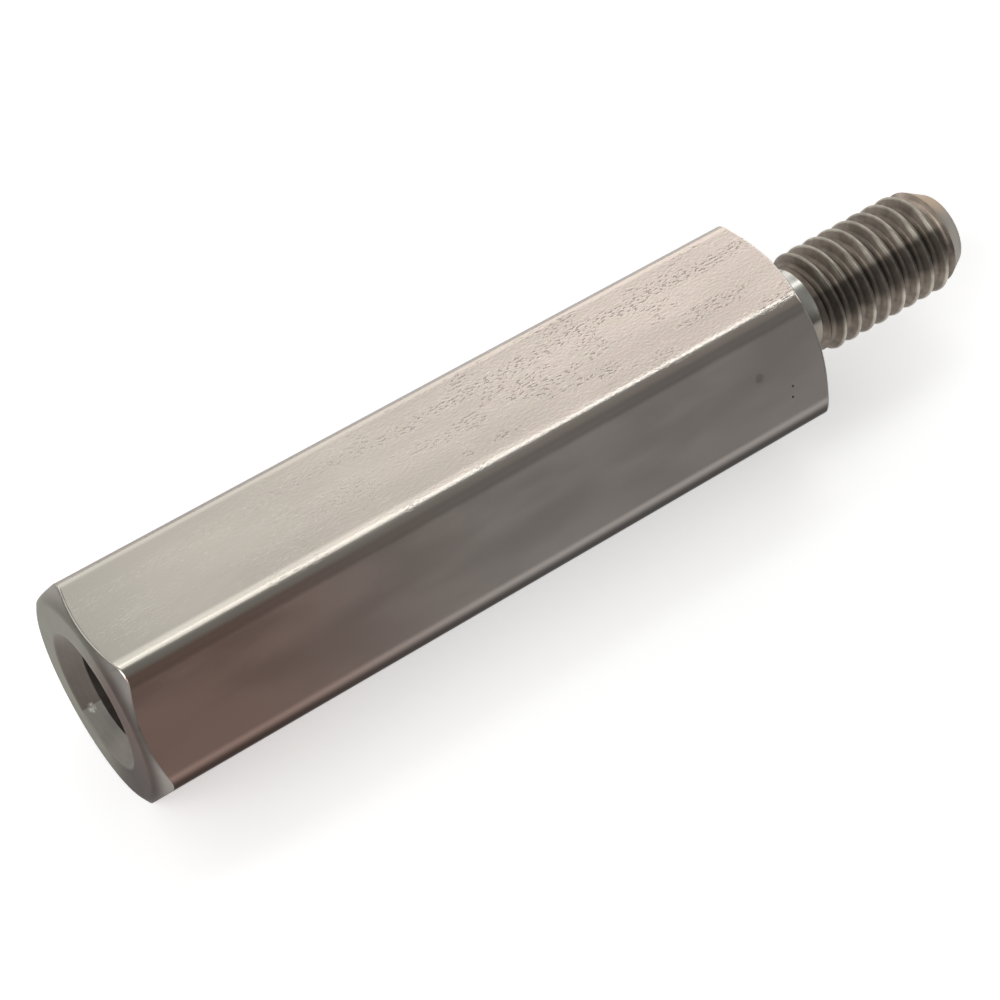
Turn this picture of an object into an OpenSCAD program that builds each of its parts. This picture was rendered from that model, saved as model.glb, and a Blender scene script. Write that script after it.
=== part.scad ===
// Male-female hexagonal standoff, turned from hexagonal bar.
// The bar lies along X on one of its flats: the tapped end is at x = 0, the threaded stud points to +X.
// Both threads are plain cylinders here, at the stud's outside and the tapped hole's core diameter.

/* [Bar] */
// Width across the flats of the hexagonal bar
flats_w = 5.5; // [5:0.1:7]
// Length of the bar from the tapped end face to the shoulder
bar_len = 20; // [12:1:40]
// Radius of the bar's six long edges
edge_r = 0.5; // [0.1:0.05:0.6]
// Diameter of the flat ring that the end chamfers leave on each end face
land_d = 5.2; // [4.4:0.1:5.4]
// Angle between the end chamfers and the end faces
chamfer_angle = 30; // [15:5:45]

/* [Stud] */
// Outside diameter of the stud's thread
stud_d = 3; // [2.6:0.1:3.6]
// Length of the stud from the shoulder to its tip
stud_len = 6; // [4:0.5:12]
// Diameter of the thread relief beside the shoulder
relief_d = 2.3; // [1.8:0.1:2.5]
// Length of the thread relief, without its sloping end
relief_len = 1.1; // [0.6:0.1:1.5]
// Diameter of the flat end of the stud's tapered tip
tip_d = 2.1; // [1.6:0.1:2.4]
// Angle between the tip's taper and the axis
tip_angle = 30; // [20:5:50]

/* [Tapped hole] */
// Core diameter of the tapped hole
core_d = 2.5; // [2:0.1:3]
// Depth of the hole at its full diameter
hole_depth = 10; // [5:0.5:10.5]
// Diameter of the countersink at the mouth
countersink_d = 3.6; // [3.1:0.1:4.2]
// Full angle of the countersink
countersink_angle = 120; // [90:10:120]
// Full angle of the drill point at the bottom of the hole
point_angle = 118; // [90:1:135]

/* [Hidden] */
round_fn = 96;

edges = 6;
edge_step = 360 / edges;
// Distance from the axis to the centres of the long edges' rounding
edge_centre = (flats_w / 2 - edge_r) / cos(edge_step / 2);
// A radius that clears the bar's edges, for the shape that turns both end chamfers
clear_r = flats_w / 2 / cos(edge_step / 2) + 1;
chamfer_rise = (clear_r - land_d / 2) * tan(chamfer_angle);

// The stud starts this far inside the bar, so that the two join as one solid
stud_root = 1;
// The relief's end slopes up to the thread at 45 degrees
relief_slope = (stud_d - relief_d) / 2;
tip_taper = (stud_d - tip_d) / 2 / tan(tip_angle);

countersink_depth = (countersink_d - core_d) / 2 / tan(countersink_angle / 2);
point_depth = core_d / 2 / tan(point_angle / 2);
// The cutting shape of the hole starts this far outside the end face
cut_past = 0.5;
cut_r = countersink_d / 2 + cut_past * tan(countersink_angle / 2);

// Turns a profile of [radius, distance along the bar] points about the X axis
module turned(profile) {
    rotate([0, 90, 0])
        rotate_extrude($fn = round_fn)
            polygon(profile);
}

// The bar's section: six flats, two of them level, that run tangent into six round edges
module bar_section() {
    polygon([
        for (i = [0:edges - 1], side = [-1, 1])
            let (
                corner = edge_step * (i + 0.5),
                tangent = corner + side * edge_step / 2
            )
            [
                edge_centre * cos(corner) + edge_r * cos(tangent),
                edge_centre * sin(corner) + edge_r * sin(tangent)
            ]
    ]);
    for (i = [0:edges - 1])
        rotate(edge_step * (i + 0.5))
            translate([edge_centre, 0])
                circle(r = edge_r, $fn = round_fn);
}

// The bar with a turned chamfer at each end, which leaves a curved line on every flat
module chamfered_bar() {
    intersection() {
        rotate([0, 90, 0])
            linear_extrude(bar_len)
                bar_section();
        turned([
            [0, 0],
            [land_d / 2, 0],
            [clear_r, chamfer_rise],
            [clear_r, bar_len - chamfer_rise],
            [land_d / 2, bar_len],
            [0, bar_len]
        ]);
    }
}

// The stud: thread relief beside the shoulder, full diameter, tapered tip
module stud() {
    stud_end = bar_len + stud_len;
    turned([
        [0, bar_len - stud_root],
        [relief_d / 2, bar_len - stud_root],
        [relief_d / 2, bar_len + relief_len],
        [stud_d / 2, bar_len + relief_len + relief_slope],
        [stud_d / 2, stud_end - tip_taper],
        [tip_d / 2, stud_end],
        [0, stud_end]
    ]);
}

// The cutting shape of the blind tapped hole: countersink, core and drill point
module tapped_hole() {
    turned([
        [0, -cut_past],
        [cut_r, -cut_past],
        [core_d / 2, countersink_depth],
        [core_d / 2, hole_depth],
        [0, hole_depth + point_depth]
    ]);
}

module standoff() {
    color([0.66, 0.63, 0.6])
        difference() {
            union() {
                chamfered_bar();
                stud();
            }
            tapped_hole();
        }
}

standoff();
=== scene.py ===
"""Hexagonal standoff of drawn steel bar, with a tapped end and a threaded stud.

The file is laid out as an add-on. Run as a script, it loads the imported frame, models the piece over the
CAD solid and sets up the stage.
"""

import math

import bpy
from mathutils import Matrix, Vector


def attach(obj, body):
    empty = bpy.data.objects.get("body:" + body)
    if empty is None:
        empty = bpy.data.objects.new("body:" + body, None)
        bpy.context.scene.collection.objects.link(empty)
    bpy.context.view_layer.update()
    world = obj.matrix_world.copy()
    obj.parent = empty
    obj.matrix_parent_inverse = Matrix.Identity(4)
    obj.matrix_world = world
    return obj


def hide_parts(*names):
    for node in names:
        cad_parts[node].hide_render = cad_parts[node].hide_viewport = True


bl_info = {
    "name": "Hex standoff",
    "version": (1, 0, 0),
    "blender": (4, 5, 0),
    "location": "View3D > Sidebar > Standoff",
    "description": "Models a male-female hexagonal standoff with both threads cut, and its studio stage",
    "category": "Add Mesh",
}

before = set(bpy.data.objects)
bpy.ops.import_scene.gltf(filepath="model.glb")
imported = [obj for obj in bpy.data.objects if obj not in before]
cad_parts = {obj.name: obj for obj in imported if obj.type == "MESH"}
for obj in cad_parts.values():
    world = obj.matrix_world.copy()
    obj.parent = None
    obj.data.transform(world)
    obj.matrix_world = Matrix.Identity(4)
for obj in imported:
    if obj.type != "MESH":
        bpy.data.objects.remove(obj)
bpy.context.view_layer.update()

MM = 0.001
# Points of a mesh closer than this are one point
SAME_PLACE = 0.001 * MM
# Segments in a whole turn
CHAMFER_SEGMENTS = 240
TURNED_SEGMENTS = 144
THREAD_SEGMENTS = 96
# Steps along a rounding that is turned with its profile
ARC_STEPS = 6


# ---------------------------------------------------------------- settings


def length(name, description, default_mm):
    """A length property, written in millimetres and kept in metres."""
    return bpy.props.FloatProperty(
        name=name,
        description=description,
        default=default_mm * MM,
        min=0.0,
        precision=6,
        unit="LENGTH",
    )


def turn(name, description, degrees):
    """An angle property, written in degrees."""
    return bpy.props.FloatProperty(
        name=name,
        description=description,
        default=math.radians(degrees),
        unit="ROTATION",
    )


def colour(name, description, rgb):
    """A colour property in linear light."""
    return bpy.props.FloatVectorProperty(
        name=name,
        description=description,
        default=rgb,
        min=0.0,
        max=1.0,
        size=3,
        subtype="COLOR",
    )


class StandoffBarSettings(bpy.types.PropertyGroup):
    """Sizes of the hexagonal bar."""

    flats_w: length("Width across flats", "Distance between two opposite flats", 5.5)
    bar_len: length("Bar length", "From the tapped end face to the shoulder", 20.0)
    edge_w: length("Edge width", "How far the rounding of a long edge reaches from the sharp corner", 0.42)
    edge_profile: bpy.props.FloatProperty(
        name="Edge profile",
        description="Shape of a long edge: 0.5 is round, 1 is sharp",
        default=0.66,
        min=0.0,
        max=1.0,
    )
    land_d: length("Land diameter", "Flat ring that the end chamfers leave", 5.2)
    chamfer_angle: turn("Chamfer angle", "Between the end chamfers and the end faces", 30.0)
    land_round: length("Land rounding", "Radius between the end faces and the chamfers", 0.3)
    break_w: length("Broken edge", "Width of the worn line along each end chamfer", 0.05)


class StandoffStudSettings(bpy.types.PropertyGroup):
    """Sizes of the threaded stud."""

    stud_d: length("Stud diameter", "Outside diameter of the thread", 2.88)
    stud_len: length("Stud length", "From the shoulder to the tip", 6.0)
    relief_d: length("Relief diameter", "Thread relief beside the shoulder", 2.3)
    relief_len: length("Relief length", "Without its sloping end", 1.12)
    relief_angle: turn("Relief angle", "Between the relief's sloping end and the axis", 35.0)
    tip_d: length("Tip diameter", "Flat end of the tapered tip", 2.1)
    tip_angle: turn("Tip angle", "Between the tip's taper and the axis", 30.0)
    tip_plain: length("Plain tip", "Length at the tip that the thread doesn't reach", 0.45)


class StandoffHoleSettings(bpy.types.PropertyGroup):
    """Sizes of the tapped hole."""

    core_d: length("Core diameter", "Drilled diameter of the tapped hole", 2.5)
    hole_depth: length("Hole depth", "At the full diameter", 10.0)
    tapped_depth: length("Tapped depth", "How far the thread runs into the hole", 8.5)
    countersink_d: length("Countersink diameter", "At the mouth", 3.6)
    countersink_angle: turn("Countersink angle", "Full angle of the countersink", 105.0)
    mouth_round: length("Mouth rounding", "How far the rim of the countersink is rounded", 0.07)
    point_angle: turn("Drill point", "Full angle of the drill point", 118.0)


class StandoffThreadSettings(bpy.types.PropertyGroup):
    """The metric thread that the stud and the hole share."""

    pitch: length("Pitch", "Distance between two turns", 0.5)
    major_d: length("Major diameter", "Outside diameter of the tapped thread", 3.0)
    root_d: length("Root diameter", "Bottom of the stud's thread", 2.387)
    crest_flat: length("Crest flat", "Width of the flat on each crest", 0.0625)
    crest_round: length("Crest rounding", "How far each corner of the crest is rounded", 0.012)
    root_round: length("Root rounding", "How far each corner of the root is rounded", 0.066)
    flank_angle: turn("Flank angle", "Between a flank and a plane across the axis", 30.0)
    stud_phase: length("Stud phase", "From the shoulder to a crest, on the top of the stud", 1.553)
    hole_phase: length("Hole phase", "From the end face to a groove, at the top of the hole", 0.1)


class StandoffFinishSettings(bpy.types.PropertyGroup):
    """Colours of the steel and of the floor."""

    drawn: colour("Drawn bar", "Metal colour of the flats", (0.69, 0.60, 0.54))
    # Painted shade: the flats near the tapped end are darker, and a little less pink
    drawn_tapped_end_shaded: colour("Tapped end", "Metal colour of the flats near that end", (0.49, 0.465, 0.41))
    # Painted highlight: the colour of the near rounding where its highlight lies
    edge: colour("Long edges", "Metal colour of the rounding along the upper flat", (0.625, 0.61, 0.56))
    # Painted shade: the sides that face sideways are darker than the upper flat
    drawn_low_shaded: colour("Lower sides", "Metal colour of the flats that face sideways", (0.46, 0.42, 0.39))
    # The lower sides are browner and darker towards the tapped end
    low_end_brown: colour("Browner low end", "Metal colour of the lower sides near the tapped end", (0.36, 0.245, 0.208))
    turned: colour("Turned ends", "Metal colour of the end faces and chamfers", (0.158, 0.154, 0.134))
    low_side_colour: colour("Darker low side", "Metal colour of the low side of the tapped end", (0.100, 0.084, 0.076))
    sink: colour("Countersink", "Metal colour of the clean half of the countersink", (0.22, 0.205, 0.185))
    # Painted light: the chamfers' colour towards their corners
    lightened: colour("Lighter corners", "Metal colour of the chamfers' corners", (0.29, 0.27, 0.25))
    stain: colour("Stain", "Metal colour of the brown half of the countersink", (0.135, 0.116, 0.102))
    neck: colour("Neck", "Metal colour of the stud's relief", (0.70, 0.69, 0.64))
    # Painted light and shade: the colours of the taper's top and of its low side
    tip: colour("Tip", "Metal colour of the top of the stud's taper", (0.46, 0.385, 0.315))
    tip_shaded: colour("Tip, low side", "Metal colour of the rest of the stud's taper", (0.30, 0.285, 0.26))
    threaded: colour("Threads", "Metal colour of the thread's flanks and roots", (0.235, 0.198, 0.165))
    crest: colour("Thread crests", "Metal colour of the worn crests", (0.44, 0.405, 0.345))
    floor: colour("Floor", "Colour of the studio floor", (0.92, 0.92, 0.92))


class StandoffStageSettings(bpy.types.PropertyGroup):
    """The camera and the floor's glow."""

    aim: bpy.props.FloatVectorProperty(
        name="Aim",
        description="Point that the camera looks at",
        default=(11.31 * MM, -0.48 * MM, -0.30 * MM),
        precision=6,
        subtype="TRANSLATION",
    )
    azimuth: turn("Camera azimuth", "Measured from +X towards +Y", -125.42)
    elevation: turn("Camera elevation", "Above the horizon", 52.44)
    distance: length("Camera distance", "From the aim point to the lens", 64.49)
    lens: bpy.props.FloatProperty(name="Lens", description="Focal length in millimetres", default=93.33)
    glow: bpy.props.FloatProperty(
        name="Floor glow",
        description="Light that the floor adds for the camera and for what mirrors it",
        default=0.45,
        min=0.0,
        max=1.0,
    )


class StandoffSettings(bpy.types.PropertyGroup):
    """All settings of the standoff."""

    bar: bpy.props.PointerProperty(type=StandoffBarSettings)
    stud: bpy.props.PointerProperty(type=StandoffStudSettings)
    hole: bpy.props.PointerProperty(type=StandoffHoleSettings)
    thread: bpy.props.PointerProperty(type=StandoffThreadSettings)
    finish: bpy.props.PointerProperty(type=StandoffFinishSettings)
    stage: bpy.props.PointerProperty(type=StandoffStageSettings)


# ---------------------------------------------------------------- modelling aids


def begin():
    """Leaves edit mode and deselects everything."""
    if bpy.context.object and bpy.context.object.mode != "OBJECT":
        bpy.ops.object.mode_set(mode="OBJECT")
    bpy.ops.object.select_all(action="DESELECT")


def focus(obj):
    """Makes obj the only selected object and the active one."""
    begin()
    obj.select_set(True)
    bpy.context.view_layer.objects.active = obj


def pick(obj, kind, test):
    """Selects, in edit mode, the vertices, edges or faces of obj for which test is true."""
    bpy.ops.mesh.select_mode(type=kind)
    bpy.ops.mesh.select_all(action="DESELECT")
    bpy.ops.object.mode_set(mode="OBJECT")
    mesh = obj.data
    parts = {"VERT": mesh.vertices, "EDGE": mesh.edges, "FACE": mesh.polygons}[kind]
    for part in parts:
        part.select = test(part)
    bpy.ops.object.mode_set(mode="EDIT")


def settle(obj, name):
    """Names obj and puts its place and turn into its mesh."""
    obj.name = name
    obj.data.name = name
    focus(obj)
    bpy.ops.object.transform_apply(location=True, rotation=True, scale=True)


def add_turned(name, stations, segments):
    """A solid turned about X: a disc at the first (x, radius), extruded and resized to each later one."""
    begin()
    x, radius = stations[0]
    bpy.ops.mesh.primitive_circle_add(
        vertices=segments,
        radius=radius,
        fill_type="NGON",
        location=(x, 0.0, 0.0),
        rotation=(0.0, math.pi / 2, 0.0),
    )
    solid = bpy.context.object
    bpy.ops.object.mode_set(mode="EDIT")
    bpy.ops.mesh.select_mode(type="VERT")
    bpy.ops.mesh.select_all(action="SELECT")
    for next_x, next_radius in stations[1:]:
        bpy.ops.mesh.extrude_region_move(TRANSFORM_OT_translate={"value": (next_x - x, 0.0, 0.0)})
        grow = next_radius / radius
        bpy.ops.transform.resize(value=(1.0, grow, grow), center_override=(next_x, 0.0, 0.0))
        x, radius = next_x, next_radius
    bpy.ops.mesh.select_all(action="SELECT")
    bpy.ops.mesh.remove_doubles(threshold=SAME_PLACE)
    bpy.ops.mesh.normals_make_consistent(inside=False)
    settle(solid, name)
    return solid


def arc_angles(angle):
    """The angles of the points along a rounding, from 0 to angle."""
    return [angle * i / ARC_STEPS for i in range(ARC_STEPS + 1)]


def combine(solid, tool, operation):
    """Joins, cuts or intersects solid with tool, and removes tool."""
    focus(solid)
    modifier = solid.modifiers.new(tool.name, "BOOLEAN")
    modifier.operation = operation
    modifier.solver = "EXACT"
    modifier.object = tool
    bpy.ops.object.modifier_apply(modifier=modifier.name)
    bpy.data.objects.remove(tool)
    if not solid.data.polygons:
        raise RuntimeError(f"{solid.name} has no faces left after {operation}")


def add_threaded_rod(name, thread, start_x, phase_x, turns, root_r, crest_r):
    """A right-hand threaded rod along X: one pitch of its form is traced by extrusion, then screwed."""
    begin()
    half_crest = thread.crest_flat / 2
    flank_run = (crest_r - root_r) * math.tan(thread.flank_angle)
    # The form starts and ends in the middle of a root, half a pitch from the crest
    lead = (phase_x - thread.pitch / 2 - start_x) % thread.pitch
    x0 = start_x + lead
    middle = x0 + thread.pitch / 2
    corners = [
        (x0, root_r),
        (middle - half_crest - flank_run, root_r),
        (middle - half_crest, crest_r),
        (middle + half_crest, crest_r),
        (middle + half_crest + flank_run, root_r),
        (x0 + thread.pitch, root_r),
    ]
    bpy.ops.mesh.primitive_plane_add(size=thread.pitch, location=(x0, 0.0, root_r))
    rod = bpy.context.object
    bpy.ops.object.mode_set(mode="EDIT")
    bpy.ops.mesh.select_mode(type="VERT")
    bpy.ops.mesh.select_all(action="SELECT")
    bpy.ops.mesh.merge(type="CENTER")
    for (x, r), (next_x, next_r) in zip(corners, corners[1:]):
        bpy.ops.mesh.extrude_region_move(TRANSFORM_OT_translate={"value": (next_x - x, 0.0, next_r - r)})
    settle(rod, name)
    bpy.ops.object.mode_set(mode="EDIT")
    # Both corners of the crest and of the root are rounded
    pick(rod, "VERT", lambda v: abs(v.co.z - crest_r) < SAME_PLACE)
    bpy.ops.mesh.bevel(offset=thread.crest_round, segments=2, affect="VERTICES")
    pick(
        rod,
        "VERT",
        lambda v: abs(v.co.z - root_r) < SAME_PLACE and abs(v.co.x - middle) < thread.pitch / 2 - SAME_PLACE,
    )
    bpy.ops.mesh.bevel(offset=thread.root_round, segments=4, affect="VERTICES")
    focus(rod)
    screw = rod.modifiers.new("screw", "SCREW")
    screw.axis = "X"
    screw.angle = 2 * math.pi
    screw.screw_offset = thread.pitch
    screw.iterations = turns
    screw.steps = screw.render_steps = THREAD_SEGMENTS
    screw.use_merge_vertices = False
    bpy.ops.object.modifier_apply(modifier=screw.name)
    bpy.ops.object.mode_set(mode="EDIT")
    bpy.ops.mesh.select_all(action="SELECT")
    bpy.ops.mesh.remove_doubles(threshold=SAME_PLACE)
    # Each open end is closed by a fan to a point on the axis
    first = x0 + thread.pitch * 1.5
    last = x0 + thread.pitch * (turns - 0.5)
    for near in (lambda x: x < first, lambda x: x > last):
        bpy.ops.mesh.select_mode(type="EDGE")
        bpy.ops.mesh.select_all(action="DESELECT")
        bpy.ops.mesh.select_non_manifold(
            extend=False,
            use_wire=False,
            use_boundary=True,
            use_multi_face=False,
            use_non_contiguous=False,
            use_verts=False,
        )
        bpy.ops.object.mode_set(mode="OBJECT")
        rim = [e.index for e in rod.data.edges if e.select]
        points = rod.data.vertices
        keep = {i for i in rim if all(near(points[v].co.x) for v in rod.data.edges[i].vertices)}
        bpy.ops.object.mode_set(mode="EDIT")
        pick(rod, "EDGE", lambda e: e.index in keep)
        bpy.ops.mesh.extrude_edges_move(TRANSFORM_OT_translate={"value": (0.0, 0.0, 0.0)})
        bpy.ops.mesh.merge(type="CENTER")
    bpy.ops.mesh.select_all(action="SELECT")
    bpy.ops.mesh.normals_make_consistent(inside=False)
    bpy.ops.object.mode_set(mode="OBJECT")
    return rod


# ---------------------------------------------------------------- the piece


def add_bar(bar):
    """The hexagonal bar with rounded long edges and a turned chamfer at each end."""
    begin()
    corner_r = bar.flats_w / 2 / math.cos(math.radians(30))
    bpy.ops.mesh.primitive_cylinder_add(
        vertices=6,
        radius=corner_r,
        depth=bar.bar_len,
        location=(bar.bar_len / 2, 0.0, 0.0),
        rotation=(0.0, math.pi / 2, 0.0),
    )
    solid = bpy.context.object
    settle(solid, "standoff_steel")
    bpy.ops.object.mode_set(mode="EDIT")
    points = solid.data.vertices
    pick(
        solid,
        "EDGE",
        lambda e: abs(points[e.vertices[0]].co.x - points[e.vertices[1]].co.x) > bar.bar_len / 2,
    )
    bpy.ops.mesh.bevel(offset=bar.edge_w, segments=12, profile=bar.edge_profile, affect="EDGES")
    bpy.ops.object.mode_set(mode="OBJECT")
    land_r = bar.land_d / 2
    clearance = 1 * MM
    clear_r = corner_r + clearance
    rise = (clear_r - land_r) * math.tan(bar.chamfer_angle)
    # The end face runs over into the chamfer by a shallow curve
    turn_r = bar.land_round
    reach = turn_r * math.tan(bar.chamfer_angle / 2)
    angles = arc_angles(bar.chamfer_angle)
    curve = [(turn_r * (1 - math.cos(a)), land_r - reach + turn_r * math.sin(a)) for a in angles]
    tapped_end = [*curve, (rise, clear_r)]
    stations = tapped_end + [(bar.bar_len - x, r) for x, r in reversed(tapped_end)]
    envelope = add_turned("end_chamfers", stations, CHAMFER_SEGMENTS)
    combine(solid, envelope, "INTERSECT")
    # Points that the intersection left a hair apart are joined
    focus(solid)
    bpy.ops.object.mode_set(mode="EDIT")
    bpy.ops.mesh.select_all(action="SELECT")
    bpy.ops.mesh.remove_doubles(threshold=8 * SAME_PLACE)
    bpy.ops.object.mode_set(mode="OBJECT")
    return solid


def break_edges(solid, bar):
    """Breaks the curved edges that the end chamfers leave on the flats."""
    least_angle = math.radians(40)
    focus(solid)
    bpy.ops.object.mode_set(mode="EDIT")
    bpy.ops.mesh.select_mode(type="EDGE")
    bpy.ops.mesh.select_all(action="DESELECT")
    bpy.ops.mesh.edges_select_sharp(sharpness=least_angle)
    bpy.ops.object.mode_set(mode="OBJECT")
    points = solid.data.vertices
    outer = {v.index for v in points if math.hypot(v.co.y, v.co.z) > bar.land_d / 2 + bar.break_w}
    sharp = {e.index for e in solid.data.edges if e.select and outer.issuperset(e.vertices)}
    bpy.ops.object.mode_set(mode="EDIT")
    pick(solid, "EDGE", lambda e: e.index in sharp)
    bpy.ops.mesh.bevel(offset=bar.break_w, segments=3, affect="EDGES", clamp_overlap=False)
    bpy.ops.object.mode_set(mode="OBJECT")


def add_stud(stud, thread, shoulder_x):
    """The stud: a threaded rod cut to the relief, the full diameter and the tapered tip."""
    inside_bar = 0.5 * MM
    clearance = 0.2 * MM
    root_x = shoulder_x - inside_bar
    tip_x = shoulder_x + stud.stud_len
    crest_r, relief_r, tip_r = stud.stud_d / 2, stud.relief_d / 2, stud.tip_d / 2
    clear_r = crest_r + clearance
    slope_x = shoulder_x + stud.relief_len
    taper = (clear_r - tip_r) / math.tan(stud.tip_angle)
    edge = 0.03 * MM
    envelope = add_turned(
        "stud_envelope",
        [
            (root_x, relief_r),
            (slope_x, relief_r),
            (slope_x + (clear_r - relief_r) / math.tan(stud.relief_angle), clear_r),
            (tip_x - taper, clear_r),
            (tip_x - edge, tip_r + edge * math.tan(stud.tip_angle)),
            (tip_x, tip_r - edge),
        ],
        TURNED_SEGMENTS,
    )
    # The rod reaches past both ends of the envelope
    turns = math.ceil((tip_x - root_x) / thread.pitch) + 4
    solid = add_threaded_rod(
        "stud",
        thread,
        root_x - 2 * thread.pitch,
        shoulder_x + thread.stud_phase,
        turns,
        thread.root_d / 2,
        crest_r,
    )
    # The thread runs out before the tip: a plug fills its grooves there, up a slope of 45 degrees
    below_root = 0.1 * MM
    plain_x = tip_x - stud.tip_plain
    plain_r = tip_r + stud.tip_plain * math.tan(stud.tip_angle)
    inner_r = thread.root_d / 2 - below_root
    plug = add_turned(
        "plain_tip",
        [(plain_x - (plain_r - inner_r), inner_r), (plain_x, plain_r), (tip_x + thread.pitch / 2, plain_r)],
        TURNED_SEGMENTS,
    )
    combine(solid, plug, "UNION")
    combine(solid, envelope, "INTERSECT")
    return solid


def cut_hole(solid, hole, thread):
    """Cuts the countersink, the core with its drill point, and the thread into the tapped end."""
    core_r, mouth_r = hole.core_d / 2, hole.countersink_d / 2
    past = 0.3 * MM
    point_r = 0.0001 * MM
    sink = (mouth_r - core_r) / math.tan(hole.countersink_angle / 2)
    # The rim is an arc that runs from the end face into the cone
    lean = math.pi / 2 - hole.countersink_angle / 2
    rim_r = hole.mouth_round / math.tan(lean / 2)
    outside_r = mouth_r + hole.mouth_round
    rim = [(rim_r * (1 - math.cos(a)), outside_r - rim_r * math.sin(a)) for a in arc_angles(lean)]
    cutter = add_turned(
        "hole",
        [
            (-past, outside_r),
            *rim,
            (sink, core_r),
            (hole.hole_depth, core_r),
            (hole.hole_depth + core_r / math.tan(hole.point_angle / 2), point_r),
        ],
        TURNED_SEGMENTS,
    )
    # The tap starts outside the end face, and its root lies inside the core
    inside_core = 0.03 * MM
    turns = math.floor(hole.tapped_depth / thread.pitch) + 3
    tap = add_threaded_rod(
        "tap",
        thread,
        -3 * thread.pitch,
        thread.hole_phase,
        turns,
        core_r - inside_core,
        thread.major_d / 2,
    )
    # The thread runs from a little below the countersink to the tapped depth
    clearance = 0.05 * MM
    outer_r = thread.major_d / 2 + clearance
    start_x = sink + 0.3 * MM
    reach = add_turned("tapped_reach", [(start_x, outer_r), (hole.tapped_depth, outer_r)], TURNED_SEGMENTS)
    combine(tap, reach, "INTERSECT")
    # The tap joins the drill before either cuts, so that the bar is cut once
    combine(cutter, tap, "UNION")
    combine(solid, cutter, "DIFFERENCE")


# ---------------------------------------------------------------- finishes


def new_material(name):
    """A material with a bare Principled shader, and that shader."""
    material = bpy.data.materials.new(name)
    material.use_nodes = True
    nodes = material.node_tree.nodes
    nodes.clear()
    output = nodes.new("ShaderNodeOutputMaterial")
    shader = nodes.new("ShaderNodeBsdfPrincipled")
    material.node_tree.links.new(shader.outputs["BSDF"], output.inputs["Surface"])
    return material, shader


def add_node(tree, kind, inputs=None, **settings):
    """Adds a node. Each input is a value or the socket that feeds it."""
    node = tree.nodes.new(kind)
    for name, value in settings.items():
        setattr(node, name, value)
    for name, value in (inputs or {}).items():
        if isinstance(value, bpy.types.NodeSocket):
            tree.links.new(value, node.inputs[name])
        else:
            node.inputs[name].default_value = value
    return node


def object_place(tree):
    """The place on the object, in metres, and its normal there."""
    place = add_node(tree, "ShaderNodeTexCoord")
    return place.outputs["Object"], place.outputs["Normal"]


def axes(tree, vector):
    """The three numbers of a vector."""
    return add_node(tree, "ShaderNodeSeparateXYZ", {"Vector": vector}).outputs


def calculate(tree, operation, first, second):
    """The result of a Math node."""
    return add_node(tree, "ShaderNodeMath", {0: first, 1: second}, operation=operation).outputs[0]


def fade(tree, value, start, end, low=0.0, high=1.0):
    """Runs softly from low at start to high at end."""
    node = add_node(
        tree,
        "ShaderNodeMapRange",
        {"Value": value, "From Min": start, "From Max": end, "To Min": low, "To Max": high},
        interpolation_type="SMOOTHSTEP",
    )
    return node.outputs["Result"]


def grain(tree, place, size, detail):
    """Noise between 0 and 1 whose grain has the given size (x, y, z) in millimetres."""
    stretch = add_node(
        tree,
        "ShaderNodeVectorMath",
        {0: place, 1: [1 / (side * MM) for side in size]},
        operation="MULTIPLY",
    )
    noise = add_node(
        tree, "ShaderNodeTexNoise", {"Vector": stretch.outputs[0], "Scale": 1.0, "Detail": detail}
    )
    return noise.outputs["Fac"]


def blend(tree, factor, first, second):
    """Mixes two colours."""
    return add_node(tree, "ShaderNodeMix", {0: factor, 6: first, 7: second}, data_type="RGBA").outputs[2]


def shaded(tree, rgb, factor):
    """A colour made lighter or darker by a factor."""
    scaled = add_node(tree, "ShaderNodeVectorMath", {0: rgb, "Scale": factor}, operation="SCALE")
    return scaled.outputs[0]


def raised(tree, height, depth_mm, normal=None):
    """A bump of the given depth in millimetres."""
    inputs = {"Height": height, "Distance": depth_mm * MM, "Strength": 1.0}
    if normal:
        inputs["Normal"] = normal
    return add_node(tree, "ShaderNodeBump", inputs).outputs["Normal"]


def apply_finish(tree, shader, rgb, roughness, normal):
    """Feeds the metal shader."""
    shader.inputs["Metallic"].default_value = 1.0
    tree.links.new(rgb, shader.inputs["Base Color"])
    tree.links.new(roughness, shader.inputs["Roughness"])
    tree.links.new(normal, shader.inputs["Normal"])


def tinted(rgb, tint):
    """A colour whose channels are scaled by those of tint."""
    return [channel * scale for channel, scale in zip(rgb, tint)]


def times(tree, *factors):
    """The product of numbers."""
    product = factors[0]
    for factor in factors[1:]:
        product = calculate(tree, "MULTIPLY", product, factor)
    return product


def either(tree, first, second):
    """The larger of two masks."""
    return calculate(tree, "MAXIMUM", first, second)


def moved(tree, place, shift_mm):
    """A place shifted by (x, y, z) millimetres."""
    shift = [side * MM for side in shift_mm]
    return add_node(tree, "ShaderNodeVectorMath", {0: place, 1: shift}, operation="ADD").outputs[0]


def speck(tree, place, centre_mm, radius_mm):
    """1 within a small round spot, 0 outside it."""
    centre = [side * MM for side in centre_mm]
    away = add_node(tree, "ShaderNodeVectorMath", {0: place, 1: centre}, operation="DISTANCE")
    return fade(tree, away.outputs["Value"], radius_mm * MM, radius_mm * 0.5 * MM)


def axis_distance(tree, y, z):
    """The distance from the bar's axis."""
    across = add_node(tree, "ShaderNodeCombineXYZ", {"Y": y, "Z": z}).outputs[0]
    return add_node(tree, "ShaderNodeVectorMath", {0: across}, operation="LENGTH").outputs["Value"]


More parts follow.
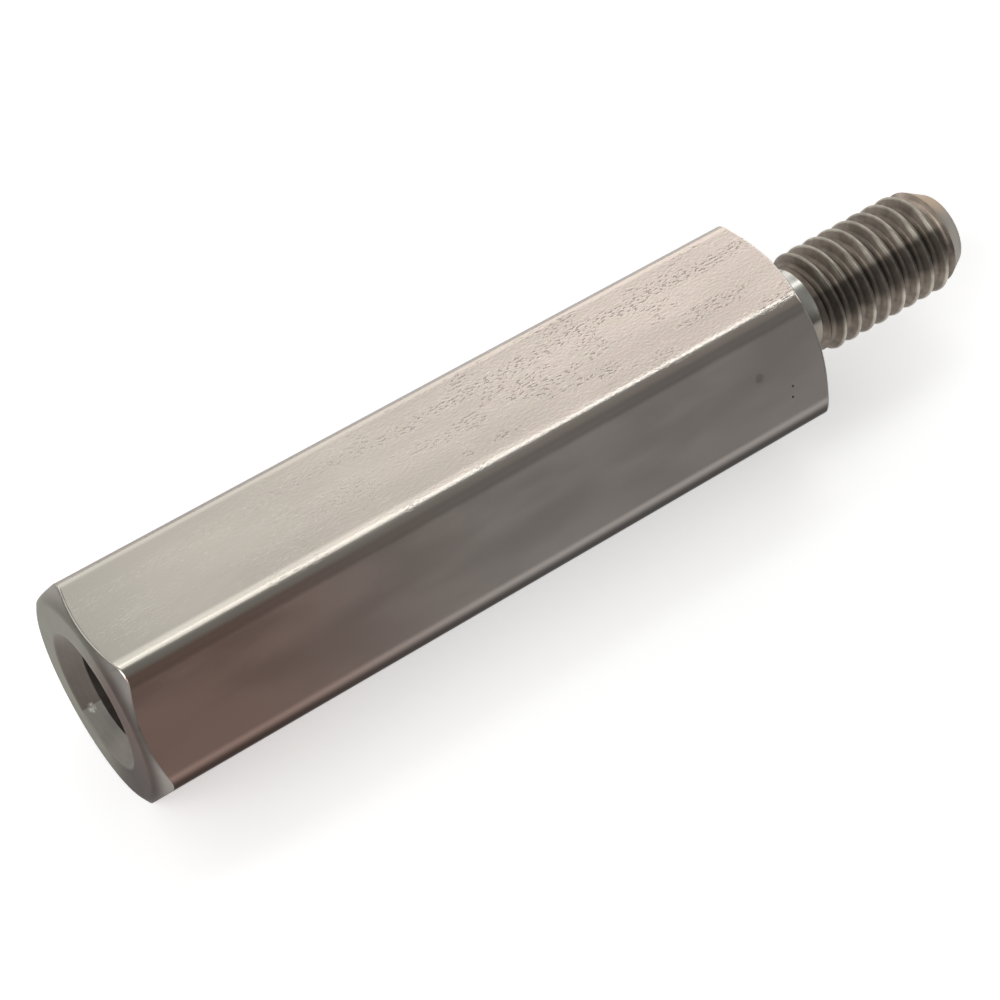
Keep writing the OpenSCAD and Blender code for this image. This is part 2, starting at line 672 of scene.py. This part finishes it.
def pit_crowd(tree, place, y, towards_stud):
    """How crowded the pits are: in patches and in one band along the flat, more so towards the stud."""
    patches = fade(tree, grain(tree, place, (1.3, 0.5, 0.5), 2.0), 0.46, 0.63, 0.0, 0.9)
    wander = times(tree, grain(tree, place, (4.0, 50.0, 50.0), 1.0), 0.5 * MM)
    from_band = calculate(tree, "SUBTRACT", calculate(tree, "SUBTRACT", y, wander), 0.5 * MM)
    band = fade(tree, calculate(tree, "ABSOLUTE", from_band, 0.0), 0.27 * MM, 0.1 * MM)
    return times(tree, either(tree, patches, band), towards_stud)


def side_up(tree, normal):
    """How far up the bar's side faces, from -1 to 1, whatever its end does."""
    facing = axes(tree, normal)
    sideways = add_node(tree, "ShaderNodeCombineXYZ", {"Y": facing[1], "Z": facing[2]}).outputs[0]
    side = add_node(tree, "ShaderNodeVectorMath", {0: sideways}, operation="NORMALIZE").outputs[0]
    return axes(tree, side)[2]


def painted_wrinkle(tree, place):
    """A fine wrinkle painted as light and shade: the difference between a grain and the same grain a little
    further on.
    """
    size = (0.12, 0.06, 0.06)
    hollow = grain(tree, place, size, 3.0)
    ridge = grain(tree, moved(tree, place, (0.0, 0.026, 0.0)), size, 3.0)
    return times(tree, calculate(tree, "SUBTRACT", ridge, hollow), 0.6)


def drawn_pits(tree, place, crowd):
    """The pits, and beside each a rim with a painted highlight."""
    size = (0.145, 0.05, 0.05)
    pits = times(tree, fade(tree, grain(tree, place, size, 3.0), 0.55, 0.63), crowd)
    beside = moved(tree, place, (0.0, 0.04, 0.0))
    rim_highlights = times(tree, fade(tree, grain(tree, beside, size, 3.0), 0.535, 0.62), crowd)
    return pits, rim_highlights


def drawn_colour(tree, finish, place, up):
    """The bar's colour: cream and pink on the upper flat; darker on the lower sides, painted shade, and
    browner there towards the tapped end; a painted highlight tint on the near rounding.
    """
    x, y = axes(tree, place)[:2]
    hue = grain(tree, place, (0.6, 0.3, 0.3), 2.0)
    pink = tinted(finish.drawn, (1.01, 0.995, 1.0))
    cream = tinted(finish.drawn, (0.99, 1.0, 0.975))
    warm = blend(tree, fade(tree, hue, 0.35, 0.65), (*pink, 1.0), (*cream, 1.0))
    # Towards the tapped end the upper flat is darker, painted shade, and the lower sides turn browner
    top = blend(tree, fade(tree, x, -2.0 * MM, 19.0 * MM), (*finish.drawn_tapped_end_shaded, 1.0), warm)
    low = blend(tree, fade(tree, x, 2.0 * MM, 11.0 * MM), (*finish.low_end_brown, 1.0), (*finish.drawn_low_shaded, 1.0))
    # Painted shade: what faces sideways takes the darker colour of the lower sides
    rgb = blend(tree, fade(tree, up, 0.72, 0.93), low, top)
    # Painted highlight: the near rounding takes a neutral colour where its highlight lies, away from the
    # tapped end
    highlight_tint = times(
        tree,
        fade(tree, up, 0.9998, 0.997),
        fade(tree, up, 0.93, 0.98),
        fade(tree, y, 0.5 * MM, -0.5 * MM),
        fade(tree, x, 3.0 * MM, 10.0 * MM, 0.0, 0.6),
    )
    return blend(tree, highlight_tint, rgb, (*finish.edge, 1.0))


def flaw_shade(tree, place, pits, rim_highlights):
    """How light the flaws are: painted shade in the pits and in two pinholes, painted highlights on the rim
    beside each pit, and a dull spot on the near lower side.
    """
    holes = either(
        tree,
        speck(tree, place, (18.82, -2.61, 0.99), 0.045),
        speck(tree, place, (18.74, -2.74, 0.75), 0.045),
    )
    dull = speck(tree, place, (17.95, -2.28, 1.55), 0.16)
    return times(
        tree,
        fade(tree, rim_highlights, 0.0, 1.0, 1.0, 1.15),
        fade(tree, pits, 0.0, 1.0, 1.0, 0.56),
        fade(tree, holes, 0.0, 1.0, 1.0, 0.2),
        fade(tree, dull, 0.0, 1.0, 1.0, 0.75),
    )


def form_shade(tree, place, up, clear_of_ridge_shade):
    """Painted light and shade on the skin, by where it lies on the bar and how it faces."""
    x, y, z = axes(tree, place)
    # Painted highlight: the upper flat is lighter where it runs over into the near edge, most at the tapped
    # end
    painted_highlight = times(
        tree,
        fade(tree, y, -1.04 * MM, -1.2 * MM),
        fade(tree, up, 0.994, 0.9995),
        fade(tree, x, 18.0 * MM, 2.0 * MM),
    )
    far_edge_shade = times(tree, fade(tree, y, 1.50 * MM, 1.60 * MM), fade(tree, z, 2.36 * MM, 2.5 * MM))
    return times(
        tree,
        fade(tree, painted_highlight, 0.0, 1.0, 1.0, 1.5),
        # Painted light and shade: lighter towards the far side (+Y), darker towards the near side
        fade(tree, y, -1.2 * MM, 1.2 * MM, 0.94, 1.04),
        # Painted light: the upper flat and the rounding below it are lighter than the lower sides
        fade(tree, up, 0.52, 0.62, 1.0, 1.2),
        # Painted shade: the long edges half way up, and the strip above them, are dark
        fade(tree, clear_of_ridge_shade, 0.0, 1.0, 0.24, 1.0),
        # Painted shade: so is the edge on the far side of the upper flat
        fade(tree, far_edge_shade, 0.0, 1.0, 1.0, 0.35),
        # Painted shade: the sides are darker towards the bottom
        fade(tree, z, 0.3 * MM, 2.6 * MM, 0.78, 1.0),
    )


def drawn_steel(finish):
    """The bar's skin: faint drawing lines, a painted wrinkle, pits on the upper flat, browner lower sides
    near the tapped end, and painted light and shade.
    """
    material, shader = new_material("drawn_steel")
    tree = material.node_tree
    place, normal = object_place(tree)
    x, y, z = axes(tree, place)
    up = side_up(tree, normal)
    on_flat = fade(tree, up, 0.95, 0.998)
    towards_stud = fade(tree, x, 2.0 * MM, 15.0 * MM, 0.12, 1.0)
    # Painted shade lies along the long edges half way up; this is 1 clear of it
    clear_of_ridge_shade = either(tree, fade(tree, z, 0.0, 0.36 * MM), fade(tree, z, -0.4 * MM, -0.9 * MM))

    lines = grain(tree, place, (7.0, 0.06, 0.06), 3.0)
    clouds = grain(tree, place, (3.5, 1.0, 1.0), 2.0)
    crinkle = grain(tree, place, (0.11, 0.07, 0.07), 2.0)
    wrinkle_shading = times(tree, painted_wrinkle(tree, place), towards_stud, on_flat)
    crowd = times(tree, pit_crowd(tree, place, y, towards_stud), on_flat)
    pits, rim_highlights = drawn_pits(tree, place, crowd)

    shade = times(
        tree,
        fade(tree, lines, 0.3, 0.7, 0.994, 1.006),
        fade(tree, clouds, 0.3, 0.7, 0.97, 1.03),
        calculate(tree, "ADD", 1.0, wrinkle_shading),
        flaw_shade(tree, place, pits, rim_highlights),
        form_shade(tree, place, up, clear_of_ridge_shade),
    )
    rgb = shaded(tree, drawn_colour(tree, finish, place, up), shade)
    roughness = calculate(tree, "ADD", fade(tree, clouds, 0.3, 0.7, 0.17, 0.22), times(tree, pits, 0.2))
    strength = times(tree, crinkle, towards_stud, fade(tree, on_flat, 0.0, 1.0, 0.04, 1.0))
    bumps = raised(tree, lines, 0.00013)
    bumps = raised(tree, strength, 0.0032, bumps)
    bumps = raised(tree, times(tree, pits, -1.0), 0.006, bumps)
    apply_finish(tree, shader, rgb, roughness, bumps)
    # Painted reflection: the long edges half way up mirror darker at a low angle
    sheen = fade(tree, clear_of_ridge_shade, 0.0, 1.0, 0.5, 1.0)
    tree.links.new(sheen, shader.inputs["Specular Tint"])
    return material


def turned_steel(name, rgb, mean_roughness):
    """A turned face: fine rings on steel whose roughness is about the given one."""
    material, shader = new_material(name)
    tree = material.node_tree
    place = object_place(tree)[0]
    x, y, z = axes(tree, place)
    ring = times(tree, calculate(tree, "ADD", axis_distance(tree, y, z), x), 1 / (0.03 * MM))
    rings = add_node(
        tree,
        "ShaderNodeTexNoise",
        {"W": ring, "Scale": 1.0, "Detail": 3.0},
        noise_dimensions="1D",
    ).outputs["Fac"]
    clouds = grain(tree, place, (0.8, 0.8, 0.8), 3.0)
    shade = times(tree, fade(tree, rings, 0.3, 0.7, 0.95, 1.05), fade(tree, clouds, 0.3, 0.7, 0.88, 1.1))
    roughness = fade(tree, clouds, 0.3, 0.7, mean_roughness - 0.04, mean_roughness + 0.04)
    apply_finish(tree, shader, shaded(tree, rgb, shade), roughness, raised(tree, rings, 0.0012))
    return material


def recolour(material, rgb, sheen):
    """Gives a turned steel another colour, and a colour for what it mirrors at a low angle."""
    tree = material.node_tree
    inputs = tree.nodes["Principled BSDF"].inputs
    tree.links.new(rgb, inputs["Base Color"].links[0].from_node.inputs[0])
    tree.links.new(sheen, inputs["Specular Tint"])


def end_steel(finish):
    """The turned ends: darker on the side towards -Y, and a brown stain in half of the countersink."""
    material = turned_steel("turned_steel", finish.turned, 0.45)
    tree = material.node_tree
    place = object_place(tree)[0]
    x, y, z = axes(tree, place)
    radius = axis_distance(tree, y, z)
    low_side = times(
        tree,
        fade(tree, y, 0.3 * MM, -1.5 * MM),
        fade(tree, x, 1.5 * MM, 1.2 * MM),
        fade(tree, z, 3.0 * MM, 2.3 * MM),
    )
    rgb = blend(tree, low_side, (*finish.turned, 1.0), (*finish.low_side_colour, 1.0))
    in_sink = times(tree, fade(tree, radius, 1.86 * MM, 1.78 * MM), fade(tree, x, 3.0 * MM, 2.0 * MM))
    rgb = blend(tree, in_sink, rgb, (*finish.sink, 1.0))
    # Painted light: the chamfers are lighter towards their corners
    lightened = fade(tree, radius, 2.65 * MM, 3.0 * MM)
    rgb = blend(tree, lightened, rgb, (*finish.lightened, 1.0))
    # The stained half ends on a straight line through the axis, 30 degrees from the vertical
    beyond = calculate(tree, "ADD", times(tree, y, 0.866), times(tree, z, 0.5))
    stain_and_painted_shade = times(tree, fade(tree, beyond, -0.01 * MM, 0.02 * MM), in_sink)
    rgb = blend(tree, stain_and_painted_shade, rgb, (*finish.stain, 1.0))
    # Painted glint: a small ragged spot where the stain ends is as light as the neck, for a burr that shines
    ragged = fade(tree, grain(tree, place, (0.07, 0.07, 0.07), 2.0), 0.4, 0.6, 0.1, 0.55)
    burr_glint = times(tree, speck(tree, place, (0.2, 0.73, -1.36), 0.16), ragged)
    rgb = blend(tree, burr_glint, rgb, (*finish.neck, 1.0))
    # On the side towards -Y the face shines less where it is seen at a low angle
    low_angle_tint = blend(tree, fade(tree, z, -0.8 * MM, 1.0 * MM), (0.63, 0.61, 0.61, 1.0), (0.76, 0.66, 0.64, 1.0))
    recolour(material, rgb, blend(tree, low_side, (0.97, 0.96, 0.90, 1.0), low_angle_tint))
    return material


def neck_steel(finish):
    """The stud's relief: bright on top, with painted shade on its sides."""
    material = turned_steel("neck_steel", finish.neck, 0.22)
    tree = material.node_tree
    z = axes(tree, object_place(tree)[0])[2]
    # Painted shade: the sides get a duller copy of the neck's colour, and mirror darker at a low angle
    dull = tinted(finish.neck, (0.38, 0.36, 0.34))
    lit_top = fade(tree, z, 0.5 * MM, 0.98 * MM)
    rgb = blend(tree, lit_top, (*dull, 1.0), (*finish.neck, 1.0))
    recolour(material, rgb, blend(tree, lit_top, (0.5, 0.47, 0.44, 1.0), (1.0, 1.0, 1.0, 1.0)))
    return material


def tip_steel(finish):
    """The stud's taper: bright on top, with painted shade where it turns down towards -Y."""
    material = turned_steel("tip_steel", finish.tip, 0.34)
    tree = material.node_tree
    y, z = axes(tree, object_place(tree)[0])[1:]
    # Painted light and shade: the taper's top gets a lit colour, its low side a shaded one, also in what
    # they mirror at a low angle
    low_side = either(tree, fade(tree, y, -0.04 * MM, -0.62 * MM), fade(tree, z, 0.2 * MM, -0.4 * MM))
    rgb = blend(tree, low_side, (*finish.tip, 1.0), (*finish.tip_shaded, 1.0))
    recolour(material, rgb, blend(tree, low_side, (0.85, 0.74, 0.64, 1.0), (0.75, 0.73, 0.69, 1.0)))
    return material


def threaded_steel(finish):
    """Threads: bright rubbed crests over brown flanks, with painted highlights on the crests, painted shade
    along the side towards -Y and in the tapped hole, and painted light beside the taper.
    """
    material, shader = new_material("threaded_steel")
    tree = material.node_tree
    place = object_place(tree)[0]
    x, y, z = axes(tree, place)
    radius = axis_distance(tree, y, z)
    row_angle = calculate(tree, "ARCTAN2", z, y)
    # Painted highlight: the light line on the crests widens down to the edge of the painted shade
    highlight_widening = times(
        tree,
        fade(tree, row_angle, math.radians(85), math.radians(114), 0.0, 0.07 * MM),
        fade(tree, row_angle, math.radians(130), math.radians(118)),
    )
    crest = fade(tree, calculate(tree, "ADD", radius, highlight_widening), 1.38 * MM, 1.43 * MM)
    clouds = grain(tree, place, (0.35, 0.35, 0.35), 3.0)
    scuffs = grain(tree, place, (0.06, 0.3, 0.3), 2.0)
    # Painted shade: a dark band along the side towards -Y
    stain_and_painted_shade = times(
        tree,
        fade(tree, row_angle, math.radians(114), math.radians(127)),
        fade(tree, row_angle, math.radians(178), math.radians(150)),
        fade(tree, x, 25.6 * MM, 25.0 * MM, 0.4, 1.0),
    )
    # The crests are rubbed lighter, less so in the painted shade
    lightened = times(tree, crest, fade(tree, stain_and_painted_shade, 0.0, 1.0, 1.0, 0.45))
    rgb = blend(tree, lightened, (*finish.threaded, 1.0), (*finish.crest, 1.0))
    lit_beside_taper = times(
        tree,
        fade(tree, x, 25.1 * MM, 25.4 * MM),
        fade(tree, z, 0.5 * MM, 1.1 * MM),
    )
    shade = times(
        tree,
        fade(tree, clouds, 0.3, 0.7, 0.8, 1.12),
        fade(tree, scuffs, 0.3, 0.7, 0.92, 1.06),
        # Painted shade along the side towards -Y
        fade(tree, stain_and_painted_shade, 0.0, 1.0, 1.0, 0.42),
        # Painted light makes the groove beside the taper lighter on its upper side, and painted shade
        # darkens the tapped hole
        fade(tree, lit_beside_taper, 0.0, 1.0, 1.0, 2.3),
        fade(tree, x, 14.0 * MM, 16.0 * MM, 0.24, 1.0),
    )
    roughness = fade(tree, lightened, 0.0, 1.0, 0.5, 0.38)
    apply_finish(tree, shader, shaded(tree, rgb, shade), roughness, raised(tree, scuffs, 0.0015))
    # The grime in the tapped hole doesn't shine like metal
    tree.links.new(fade(tree, x, 14.0 * MM, 16.0 * MM, 0.3, 1.0), shader.inputs["Metallic"])
    return material


def floor_paper(rgb, glow):
    """Matt paper. The camera, and metal or glass that mirrors the floor, see it a little lighter."""
    material, shader = new_material("floor_paper")
    tree = material.node_tree
    path = add_node(tree, "ShaderNodeLightPath").outputs
    mirrored = either(tree, path["Is Glossy Ray"], path["Is Transmission Ray"])
    seen = either(tree, path["Is Camera Ray"], mirrored)
    shader.inputs["Base Color"].default_value = (*rgb, 1.0)
    shader.inputs["Roughness"].default_value = 0.9
    shader.inputs["Specular IOR Level"].default_value = 0.0
    shader.inputs["Emission Color"].default_value = (1.0, 1.0, 1.0, 1.0)
    tree.links.new(times(tree, seen, glow), shader.inputs["Emission Strength"])
    return material


# The materials in the order of their slots
FINISHES = (drawn_steel, end_steel, threaded_steel, neck_steel, tip_steel)


def finish_faces(solid, bar, stud, hole):
    """Gives each face its finish by its place: drawn flats, turned ends, thread, bright neck or tip."""
    drawn, turned, threaded, neck, tip = range(len(FINISHES))
    close = 0.02 * MM
    # Parts of a face's normal: along X on the ends and on the broken edges, and up on the upper flat
    end_on, leaning, upper_flat = 0.6, 0.1, 0.7
    neck_x = bar.bar_len + stud.relief_len
    tip_x = bar.bar_len + stud.stud_len
    shoulder_x = bar.bar_len - SAME_PLACE
    mouth_r, core_r = hole.countersink_d / 2, hole.core_d / 2
    bore_r = mouth_r - close
    sink_x = (mouth_r - core_r) / math.tan(hole.countersink_angle / 2)
    for face in solid.data.polygons:
        x = face.center.x
        across = math.hypot(face.center.y, face.center.z)
        sink_r = max(mouth_r - x * math.tan(hole.countersink_angle / 2), core_r + close)
        taper_r = stud.tip_d / 2 + (tip_x - x) * math.tan(stud.tip_angle)
        if x > bar.bar_len + SAME_PLACE:
            on_tip = across > taper_r - close or x > tip_x - close
            face.material_index = neck if x < neck_x else tip if on_tip else threaded
        elif SAME_PLACE < x < shoulder_x and (across < sink_r - close or x > sink_x and across < bore_r):
            face.material_index = threaded
        elif abs(face.normal.x) > end_on or (abs(face.normal.x) > leaning and face.normal.z < upper_flat):
            face.material_index = turned
        else:
            face.material_index = drawn


# ---------------------------------------------------------------- operators


class STANDOFF_OT_piece(bpy.types.Operator):
    """Model the standoff in one piece: hexagonal bar, threaded stud and tapped hole"""

    bl_idname = "standoff.piece"
    bl_label = "Standoff"

    def execute(self, context):
        settings = context.scene.standoff
        bar, stud, hole, thread = settings.bar, settings.stud, settings.hole, settings.thread
        solid = add_bar(bar)
        combine(solid, add_stud(stud, thread, bar.bar_len), "UNION")
        cut_hole(solid, hole, thread)
        break_edges(solid, bar)
        focus(solid)
        bpy.ops.object.shade_smooth_by_angle(angle=math.radians(35))
        weigh = solid.modifiers.new("weighted_normals", "WEIGHTED_NORMAL")
        weigh.keep_sharp = True
        bpy.ops.object.modifier_apply(modifier=weigh.name)
        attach(solid, "root")
        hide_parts("standoff")
        return {"FINISHED"}


class STANDOFF_OT_finish(bpy.types.Operator):
    """Give the standoff its steel: drawn flats, turned ends and threads"""

    bl_idname = "standoff.finish"
    bl_label = "Steel finish"

    def execute(self, context):
        settings = context.scene.standoff
        solid = bpy.data.objects["standoff_steel"]
        solid.data.materials.clear()
        for steel in FINISHES:
            solid.data.materials.append(steel(settings.finish))
        finish_faces(solid, settings.bar, settings.stud, settings.hole)
        return {"FINISHED"}


# Name, place, size, aim (millimetres) and radiance of each lamp
LAMPS = (
    ("softbox_back", (88.0, 84.0, 100.0), (136.0, 76.0), (88.0, 84.0, 0.0), 0.55),
    ("softbox_top", (50.0, 41.0, 100.0), (130.0, 26.0), (50.0, 41.0, 0.0), 1.55),
    ("softbox_top_dim", (50.0, 20.0, 100.0), (130.0, 16.0), (50.0, 20.0, 0.0), 0.2),
    ("softbox_left", (-90.0, -25.0, 95.0), (90.0, 90.0), (10.0, 0.0, 0.0), 2.6),
    ("softbox_back_left", (-75.0, 72.0, 95.0), (80.0, 80.0), (0.0, 0.0, 0.0), 0.7),
    ("softbox_front", (-50.0, -100.0, 60.0), (80.0, 60.0), (10.0, 0.0, 0.0), 1.7),
    ("wall_back", (60.0, 122.0, 58.0), (260.0, 84.0), (60.0, 0.0, 58.0), 0.8),
    ("wall_right", (150.0, 50.0, 58.0), (140.0, 84.0), (0.0, 50.0, 58.0), 0.8),
)


def add_softbox(context, name, place, size, aim, radiance):
    """A rectangular lamp that the camera doesn't see. Its power gives it the stated radiance."""
    data = bpy.data.lights.new(name, "AREA")
    data.shape = "RECTANGLE"
    data.size = size[0] * MM
    data.size_y = size[1] * MM
    data.energy = radiance * math.pi * data.size * data.size_y
    softbox = bpy.data.objects.new(name, data)
    softbox.location = Vector(place) * MM
    context.collection.objects.link(softbox)
    aim_at(softbox, Vector(aim) * MM)
    softbox.visible_camera = False


def add_room(context):
    """The room round the stage: an even grey."""
    world = bpy.data.worlds.new("room")
    context.scene.world = world
    world.use_nodes = True
    world.node_tree.nodes["Background"].inputs["Color"].default_value = (0.22, 0.217, 0.212, 1.0)


class STANDOFF_OT_stage(bpy.types.Operator):
    """Set up the floor, the lamps, the room and the camera"""

    bl_idname = "standoff.stage"
    bl_label = "Stage"

    def execute(self, context):
        settings = context.scene.standoff
        stage = settings.stage
        begin()
        bpy.ops.mesh.primitive_plane_add(size=2.0, location=(0.0, 0.0, -settings.bar.flats_w / 2))
        floor = context.object
        floor.name = "floor"
        floor.data.materials.append(floor_paper(settings.finish.floor, stage.glow))

        for name, place, size, aim, radiance in LAMPS:
            add_softbox(context, name, place, size, aim, radiance)
        add_room(context)

        lens = bpy.data.cameras.new("camera")
        lens.lens = stage.lens
        lens.sensor_width = 36.0
        lens.clip_start = 0.001
        lens.clip_end = 10.0
        camera = bpy.data.objects.new("camera", lens)
        context.collection.objects.link(camera)
        level = math.cos(stage.elevation)
        towards = Vector(
            (level * math.cos(stage.azimuth), level * math.sin(stage.azimuth), math.sin(stage.elevation))
        )
        aim = Vector(stage.aim)
        camera.location = aim + towards * stage.distance
        aim_at(camera, aim)
        context.scene.camera = camera
        context.scene.view_settings.view_transform = "Standard"
        return {"FINISHED"}


def aim_at(obj, target):
    """Turns a lamp or the camera towards target, upright."""
    obj.rotation_euler = (target - obj.location).to_track_quat("-Z", "Y").to_euler()


class STANDOFF_PT_panel(bpy.types.Panel):
    """Lists the steps that build the standoff"""

    bl_label = "Hex standoff"
    bl_idname = "STANDOFF_PT_panel"
    bl_space_type = "VIEW_3D"
    bl_region_type = "UI"
    bl_category = "Standoff"

    def draw(self, context):
        for operator in STEPS:
            self.layout.operator(operator.bl_idname)


STEPS = (STANDOFF_OT_piece, STANDOFF_OT_finish, STANDOFF_OT_stage)
CLASSES = (
    StandoffBarSettings,
    StandoffStudSettings,
    StandoffHoleSettings,
    StandoffThreadSettings,
    StandoffFinishSettings,
    StandoffStageSettings,
    StandoffSettings,
    *STEPS,
    STANDOFF_PT_panel,
)


def register():
    """Registers the classes and the scene's settings."""
    for cls in CLASSES:
        bpy.utils.register_class(cls)
    bpy.types.Scene.standoff = bpy.props.PointerProperty(type=StandoffSettings)


def unregister():
    """Removes what register added."""
    del bpy.types.Scene.standoff
    for cls in reversed(CLASSES):
        bpy.utils.unregister_class(cls)


def main():
    register()
    bpy.ops.standoff.piece()
    bpy.ops.standoff.finish()
    bpy.ops.standoff.stage()


if __name__ == "__main__":
    main()
